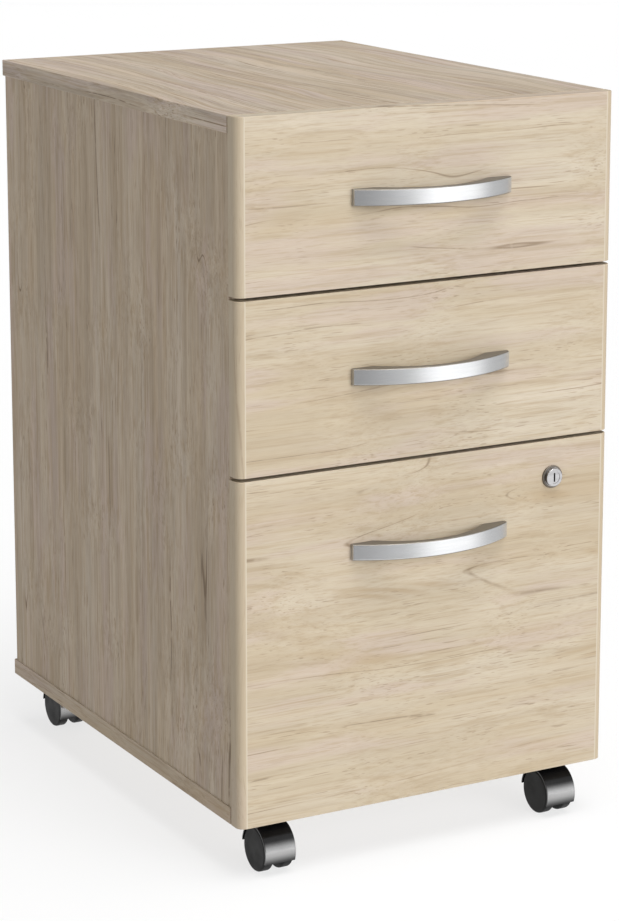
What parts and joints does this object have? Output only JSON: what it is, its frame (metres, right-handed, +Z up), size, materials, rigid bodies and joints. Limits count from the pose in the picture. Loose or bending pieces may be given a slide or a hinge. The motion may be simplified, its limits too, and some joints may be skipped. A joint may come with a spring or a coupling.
{
  "type": "rolling pedestal cabinet",
  "caption": "Rolling under-desk pedestal in light wood-grain laminate: box drawers over a locking file drawer, arched metal pulls, hooded twin-wheel casters.",
  "frame": {"origin": "on the floor, under the centre of the footprint (fronts, body and pulls together)", "axes": "+Z up, -Y is the way the drawers open, +X is the right-hand side seen from the front"},
  "size_m": [0.396, 0.543, 0.704],
  "materials": {
    "laminate_carcass": "matt wood-grain laminate over particle board",
    "laminate_fronts": "matt wood-grain laminate, grain across",
    "drawer_box": "matt light foil-wrapped board",
    "slide_steel": "zinc-plated",
    "satin_nickel": "satin metal",
    "zinc_steel": "zinc-plated",
    "lock_chrome": "polished nickel",
    "rail_plastic": "matt",
    "plate_steel": "black zinc",
    "hood_nylon": "gloss",
    "wheel_nylon": "semi-gloss"
  },
  "bodies": {
    "root": {"back_panel": "laminate_carcass", "bottom_panel": "laminate_carcass", "cabinet_slides": "slide_steel", "carcass_fittings": "zinc_steel", "caster_king_pins": "zinc_steel", "caster_plates": "plate_steel", "caster_screws": "zinc_steel", "front_rail": "laminate_carcass", "left_side_panel": "laminate_carcass", "lock_strike_plate": "zinc_steel", "right_side_panel": "laminate_carcass", "top_panel": "laminate_carcass"},
    "upper_drawer": {"upper_drawer_back": "drawer_box", "upper_drawer_bottom": "drawer_box", "upper_drawer_front": "laminate_fronts", "upper_drawer_left_side": "drawer_box", "upper_drawer_right_side": "drawer_box", "upper_drawer_slides": "slide_steel", "upper_pull": "satin_nickel", "upper_pull_screws": "zinc_steel"},
    "middle_drawer": {"middle_drawer_back": "drawer_box", "middle_drawer_bottom": "drawer_box", "middle_drawer_front": "laminate_fronts", "middle_drawer_left_side": "drawer_box", "middle_drawer_right_side": "drawer_box", "middle_drawer_slides": "slide_steel", "middle_pull": "satin_nickel", "middle_pull_screws": "zinc_steel"},
    "file_drawer": {"file_drawer_back": "drawer_box", "file_drawer_bottom": "drawer_box", "file_drawer_front": "laminate_fronts", "file_drawer_left_side": "drawer_box", "file_drawer_right_side": "drawer_box", "file_drawer_slides": "slide_steel", "file_pull": "satin_nickel", "file_pull_screws": "zinc_steel", "lock_housing": "lock_chrome", "lock_nut": "zinc_steel", "left_folder_rail": "rail_plastic", "right_folder_rail": "rail_plastic"},
    "file_middle_members": {"file_middle_slides": "slide_steel"},
    "lock_barrel": {"lock_plug": "lock_chrome", "lock_cam": "zinc_steel", "cam_screw": "zinc_steel"},
    "front_left_swivel": {"front_left_hood": "hood_nylon", "front_left_axle": "zinc_steel"},
    "front_left_left_wheel": {"front_left_wheel_left": "wheel_nylon"},
    "front_left_right_wheel": {"front_left_wheel_right": "wheel_nylon"},
    "front_right_swivel": {"front_right_hood": "hood_nylon", "front_right_axle": "zinc_steel"},
    "front_right_left_wheel": {"front_right_wheel_left": "wheel_nylon"},
    "front_right_right_wheel": {"front_right_wheel_right": "wheel_nylon"},
    "back_left_swivel": {"back_left_hood": "hood_nylon", "back_left_axle": "zinc_steel"},
    "back_left_left_wheel": {"back_left_wheel_left": "wheel_nylon"},
    "back_left_right_wheel": {"back_left_wheel_right": "wheel_nylon"},
    "back_right_swivel": {"back_right_hood": "hood_nylon", "back_right_axle": "zinc_steel"},
    "back_right_left_wheel": {"back_right_wheel_left": "wheel_nylon"},
    "back_right_right_wheel": {"back_right_wheel_right": "wheel_nylon"}
  },
  "joints": [
    {"name": "upper_drawer_slide", "type": "slide", "parent": "root", "child": "upper_drawer", "axis": [0, -1, 0], "range_m": [0, 0.33]},
    {"name": "middle_drawer_slide", "type": "slide", "parent": "root", "child": "middle_drawer", "axis": [0, -1, 0], "range_m": [0, 0.33]},
    {"name": "file_middle_slide", "type": "slide", "parent": "root", "child": "file_middle_members", "axis": [0, -1, 0], "range_m": [0, 0.225]},
    {"name": "file_drawer_slide", "type": "slide", "parent": "root", "child": "file_drawer", "axis": [0, -1, 0], "range_m": [0, 0.45]},
    {"name": "lock_turn", "type": "hinge", "parent": "file_drawer", "child": "lock_barrel", "pos_m": [0.135, -0.2435, 0.343], "axis": [0, 1, 0], "range_deg": [0, 90]},
    {"name": "front_left_caster_swivel", "type": "hinge", "parent": "root", "child": "front_left_swivel", "pos_m": [-0.154, -0.2055, 0.053], "axis": [0, 0, 1], "continuous": true},
    {"name": "front_left_left_wheel_spin", "type": "hinge", "parent": "front_left_swivel", "child": "front_left_left_wheel", "pos_m": [-0.154, -0.2175, 0.021], "axis": [1, 0, 0], "continuous": true},
    {"name": "front_left_right_wheel_spin", "type": "hinge", "parent": "front_left_swivel", "child": "front_left_right_wheel", "pos_m": [-0.154, -0.2175, 0.021], "axis": [1, 0, 0], "continuous": true},
    {"name": "front_right_caster_swivel", "type": "hinge", "parent": "root", "child": "front_right_swivel", "pos_m": [0.154, -0.2055, 0.053], "axis": [0, 0, 1], "continuous": true},
    {"name": "front_right_left_wheel_spin", "type": "hinge", "parent": "front_right_swivel", "child": "front_right_left_wheel", "pos_m": [0.154, -0.2175, 0.021], "axis": [1, 0, 0], "continuous": true},
    {"name": "front_right_right_wheel_spin", "type": "hinge", "parent": "front_right_swivel", "child": "front_right_right_wheel", "pos_m": [0.154, -0.2175, 0.021], "axis": [1, 0, 0], "continuous": true},
    {"name": "back_left_caster_swivel", "type": "hinge", "parent": "root", "child": "back_left_swivel", "pos_m": [-0.154, 0.2515, 0.053], "axis": [0, 0, 1], "continuous": true},
    {"name": "back_left_left_wheel_spin", "type": "hinge", "parent": "back_left_swivel", "child": "back_left_left_wheel", "pos_m": [-0.154, 0.2395, 0.021], "axis": [1, 0, 0], "continuous": true},
    {"name": "back_left_right_wheel_spin", "type": "hinge", "parent": "back_left_swivel", "child": "back_left_right_wheel", "pos_m": [-0.154, 0.2395, 0.021], "axis": [1, 0, 0], "continuous": true},
    {"name": "back_right_caster_swivel", "type": "hinge", "parent": "root", "child": "back_right_swivel", "pos_m": [0.154, 0.2515, 0.053], "axis": [0, 0, 1], "continuous": true},
    {"name": "back_right_left_wheel_spin", "type": "hinge", "parent": "back_right_swivel", "child": "back_right_left_wheel", "pos_m": [0.154, 0.2395, 0.021], "axis": [1, 0, 0], "continuous": true},
    {"name": "back_right_right_wheel_spin", "type": "hinge", "parent": "back_right_swivel", "child": "back_right_right_wheel", "pos_m": [0.154, 0.2395, 0.021], "axis": [1, 0, 0], "continuous": true}
  ],
  "couplings": [
    {"joint": "file_middle_slide", "follows": "file_drawer_slide", "ratio": 0.5}
  ]
}
